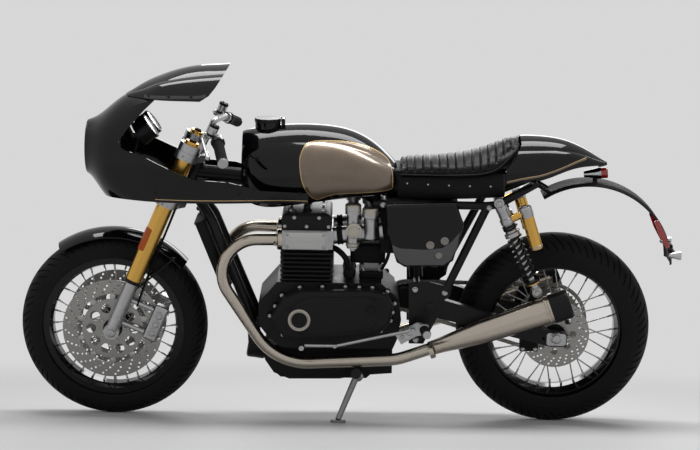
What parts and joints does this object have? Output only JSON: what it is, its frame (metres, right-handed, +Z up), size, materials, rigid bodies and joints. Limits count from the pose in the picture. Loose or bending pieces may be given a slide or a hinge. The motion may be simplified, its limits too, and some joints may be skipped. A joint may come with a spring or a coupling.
{
  "type": "cafe racer motorcycle",
  "caption": "Cafe racer motorcycle with half fairing, humped single seat, wire wheels and twin low exhausts, leaning on its side stand.",
  "frame": {"origin": "on the floor under the middle of the whole machine's box, the machine leaning 12.5 degrees to its left on its side stand", "axes": "+X to the rear of the machine along its length, +Y to the rider's right, +Z up"},
  "size_m": [2.103, 0.7796, 1.1299],
  "materials": {
    "tyre": "matte",
    "rim_black": "satin",
    "hub_black": "satin",
    "spoke_steel": "satin",
    "disc_steel": "satin",
    "fork_gold": "satin",
    "bare_alloy": "satin",
    "chrome": "polished",
    "exhaust_steel": "satin",
    "engine_black": "satin",
    "frame_black": "satin",
    "body_black": "gloss",
    "screen_black": "gloss",
    "trim_black": "matte",
    "seat_leather": "satin",
    "grip_rubber": "matte",
    "lamp_glass": "gloss",
    "lamp_red": "gloss",
    "chain_steel": "satin"
  },
  "bodies": {
    "chassis": {"airbox": "trim_black", "cam_cover": "engine_black", "crankcase": "engine_black", "cylinder_head": "bare_alloy", "cylinders": "engine_black", "drive_chain": "chain_steel", "engine_covers": "engine_black", "exhaust_pipes": "exhaust_steel", "fairing": "body_black", "fairing_stay": "frame_black", "footrests": "bare_alloy", "fuel_tank": "body_black", "headlight": "lamp_glass", "indicators": "trim_black", "instruments": "chrome", "main_frame": "frame_black", "radiator": "trim_black", "rear_axle": "bare_alloy", "rear_caliper": "trim_black", "rear_mudguard": "trim_black", "seat": "seat_leather", "seat_base": "trim_black", "shock_absorbers": "fork_gold", "shock_springs": "frame_black", "side_covers": "body_black", "silencers": "exhaust_steel", "stand_bracket": "frame_black", "subframe": "frame_black", "swingarm": "frame_black", "tail_cowl": "body_black", "tail_light": "lamp_red", "throttle_bodies": "bare_alloy", "windscreen": "screen_black"},
    "side_stand": {"side_stand": "frame_black"},
    "filler_lid": {"filler_lid": "chrome"},
    "rear_wheel": {"rear_tyre": "tyre", "rear_rim": "rim_black", "rear_hub": "hub_black", "rear_spokes": "spoke_steel", "rear_disc": "disc_steel", "rear_sprocket": "chain_steel"},
    "front_wheel": {"front_tyre": "tyre", "front_rim": "rim_black", "front_hub": "hub_black", "front_spokes": "spoke_steel", "front_discs": "disc_steel"},
    "steering": {"fork_tubes": "fork_gold", "fork_legs": "bare_alloy", "fork_yokes": "bare_alloy", "handlebars": "bare_alloy", "grips": "grip_rubber", "front_mudguard": "body_black", "front_calipers": "bare_alloy"}
  },
  "joints": [
    {"name": "steering", "type": "hinge", "parent": "chassis", "child": "steering", "pos_m": [-0.54343, 0.02961, 0.6982], "axis": [0.3875, -0.1995, 0.9], "range_deg": [-26, 26]},
    {"name": "front_wheel_spin", "type": "hinge", "parent": "steering", "child": "front_wheel", "pos_m": [-0.7515, 0.11915, 0.29431], "axis": [0, 0.9763, 0.2164], "continuous": true},
    {"name": "rear_wheel_spin", "type": "hinge", "parent": "chassis", "child": "rear_wheel", "pos_m": [0.6635, 0.11645, 0.3065], "axis": [0, 0.9763, 0.2164], "continuous": true},
    {"name": "side_stand_fold", "type": "hinge", "parent": "chassis", "child": "side_stand", "pos_m": [0.034, -0.00187, 0.14717], "axis": [-0.192, -0.9134, 0.3589], "range_deg": [0, 100]},
    {"name": "filler_lid_hinge", "type": "hinge", "parent": "chassis", "child": "filler_lid", "pos_m": [-0.213, -0.02706, 0.95384], "axis": [0, 0.9763, 0.2164], "range_deg": [0, 95]}
  ]
}
